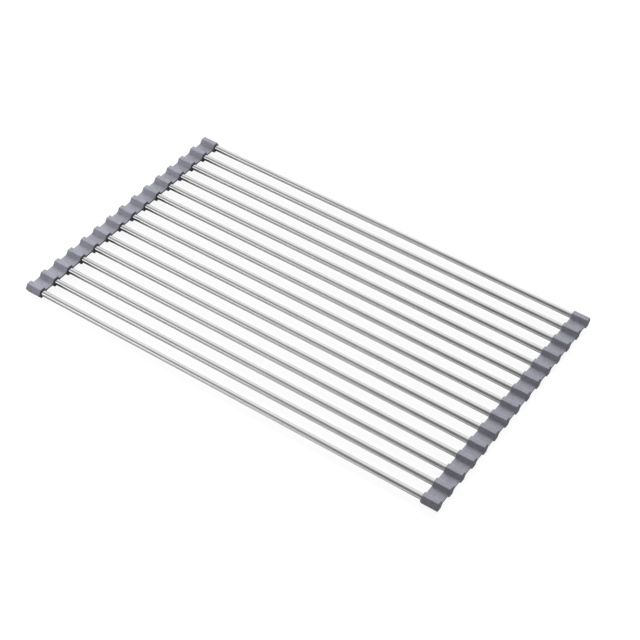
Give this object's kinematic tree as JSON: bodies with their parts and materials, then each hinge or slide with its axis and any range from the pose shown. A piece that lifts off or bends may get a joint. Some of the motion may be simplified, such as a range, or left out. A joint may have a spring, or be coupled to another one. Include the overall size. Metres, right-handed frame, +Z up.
{
  "type": "over-sink drying rack",
  "caption": "Flat over-sink drying rack of parallel round steel tubes whose ends sit in two wavy flexible side strips that bend between the tubes, so it rolls up.",
  "frame": {"origin": "on the surface the rack lies on, under the middle of the rack, laid out flat", "axes": "+X along the tubes, +Y across them from bar_15 towards bar_01, +Z up"},
  "size_m": [0.452, 0.2834, 0.01],
  "materials": {
    "tube": "polished stainless steel",
    "strip": "matt moulded silicone, blue-grey"
  },
  "bodies": {
    "bar_01": {"tube_01": "tube", "left_strip_01": "strip", "right_strip_01": "strip"},
    "bar_02": {"tube_02": "tube", "left_strip_02": "strip", "right_strip_02": "strip"},
    "bar_03": {"tube_03": "tube", "left_strip_03": "strip", "right_strip_03": "strip"},
    "bar_04": {"tube_04": "tube", "left_strip_04": "strip", "right_strip_04": "strip"},
    "bar_05": {"tube_05": "tube", "left_strip_05": "strip", "right_strip_05": "strip"},
    "bar_06": {"tube_06": "tube", "left_strip_06": "strip", "right_strip_06": "strip"},
    "bar_07": {"tube_07": "tube", "left_strip_07": "strip", "right_strip_07": "strip"},
    "bar_08": {"tube_08": "tube", "left_strip_08": "strip", "right_strip_08": "strip"},
    "bar_09": {"tube_09": "tube", "left_strip_09": "strip", "right_strip_09": "strip"},
    "bar_10": {"tube_10": "tube", "left_strip_10": "strip", "right_strip_10": "strip"},
    "bar_11": {"tube_11": "tube", "left_strip_11": "strip", "right_strip_11": "strip"},
    "bar_12": {"tube_12": "tube", "left_strip_12": "strip", "right_strip_12": "strip"},
    "bar_13": {"tube_13": "tube", "left_strip_13": "strip", "right_strip_13": "strip"},
    "bar_14": {"tube_14": "tube", "left_strip_14": "strip", "right_strip_14": "strip"},
    "bar_15": {"tube_15": "tube", "left_strip_15": "strip", "right_strip_15": "strip"}
  },
  "joints": [
    {"name": "web_bend_01", "type": "hinge", "parent": "bar_02", "child": "bar_01", "pos_m": [0, 0.12675, 0.005], "axis": [1, 0, 0], "range_deg": [-72, 72], "stiffness_Nm_per_rad": 0.01},
    {"name": "web_bend_02", "type": "hinge", "parent": "bar_03", "child": "bar_02", "pos_m": [0, 0.10725, 0.005], "axis": [1, 0, 0], "range_deg": [-62, 62], "stiffness_Nm_per_rad": 0.01},
    {"name": "web_bend_03", "type": "hinge", "parent": "bar_04", "child": "bar_03", "pos_m": [0, 0.08775, 0.005], "axis": [1, 0, 0], "range_deg": [-56, 56], "stiffness_Nm_per_rad": 0.01},
    {"name": "web_bend_04", "type": "hinge", "parent": "bar_05", "child": "bar_04", "pos_m": [0, 0.06825, 0.005], "axis": [1, 0, 0], "range_deg": [-51, 51], "stiffness_Nm_per_rad": 0.01},
    {"name": "web_bend_05", "type": "hinge", "parent": "bar_06", "child": "bar_05", "pos_m": [0, 0.04875, 0.005], "axis": [1, 0, 0], "range_deg": [-48, 48], "stiffness_Nm_per_rad": 0.01},
    {"name": "web_bend_06", "type": "hinge", "parent": "bar_07", "child": "bar_06", "pos_m": [0, 0.02925, 0.005], "axis": [1, 0, 0], "range_deg": [-45, 45], "stiffness_Nm_per_rad": 0.01},
    {"name": "web_bend_07", "type": "hinge", "parent": "bar_08", "child": "bar_07", "pos_m": [0, 0.00975, 0.005], "axis": [1, 0, 0], "range_deg": [-42, 42], "stiffness_Nm_per_rad": 0.01},
    {"name": "web_bend_08", "type": "hinge", "parent": "bar_09", "child": "bar_08", "pos_m": [0, -0.00975, 0.005], "axis": [1, 0, 0], "range_deg": [-40, 40], "stiffness_Nm_per_rad": 0.01},
    {"name": "web_bend_09", "type": "hinge", "parent": "bar_10", "child": "bar_09", "pos_m": [0, -0.02925, 0.005], "axis": [1, 0, 0], "range_deg": [-38, 38], "stiffness_Nm_per_rad": 0.01},
    {"name": "web_bend_10", "type": "hinge", "parent": "bar_11", "child": "bar_10", "pos_m": [0, -0.04875, 0.005], "axis": [1, 0, 0], "range_deg": [-36, 36], "stiffness_Nm_per_rad": 0.01},
    {"name": "web_bend_11", "type": "hinge", "parent": "bar_12", "child": "bar_11", "pos_m": [0, -0.06825, 0.005], "axis": [1, 0, 0], "range_deg": [-35, 35], "stiffness_Nm_per_rad": 0.01},
    {"name": "web_bend_12", "type": "hinge", "parent": "bar_13", "child": "bar_12", "pos_m": [0, -0.08775, 0.005], "axis": [1, 0, 0], "range_deg": [-34, 34], "stiffness_Nm_per_rad": 0.01},
    {"name": "web_bend_13", "type": "hinge", "parent": "bar_14", "child": "bar_13", "pos_m": [0, -0.10725, 0.005], "axis": [1, 0, 0], "range_deg": [-33, 33], "stiffness_Nm_per_rad": 0.01},
    {"name": "web_bend_14", "type": "hinge", "parent": "bar_15", "child": "bar_14", "pos_m": [0, -0.12675, 0.005], "axis": [1, 0, 0], "range_deg": [-32, 32], "stiffness_Nm_per_rad": 0.01}
  ]
}
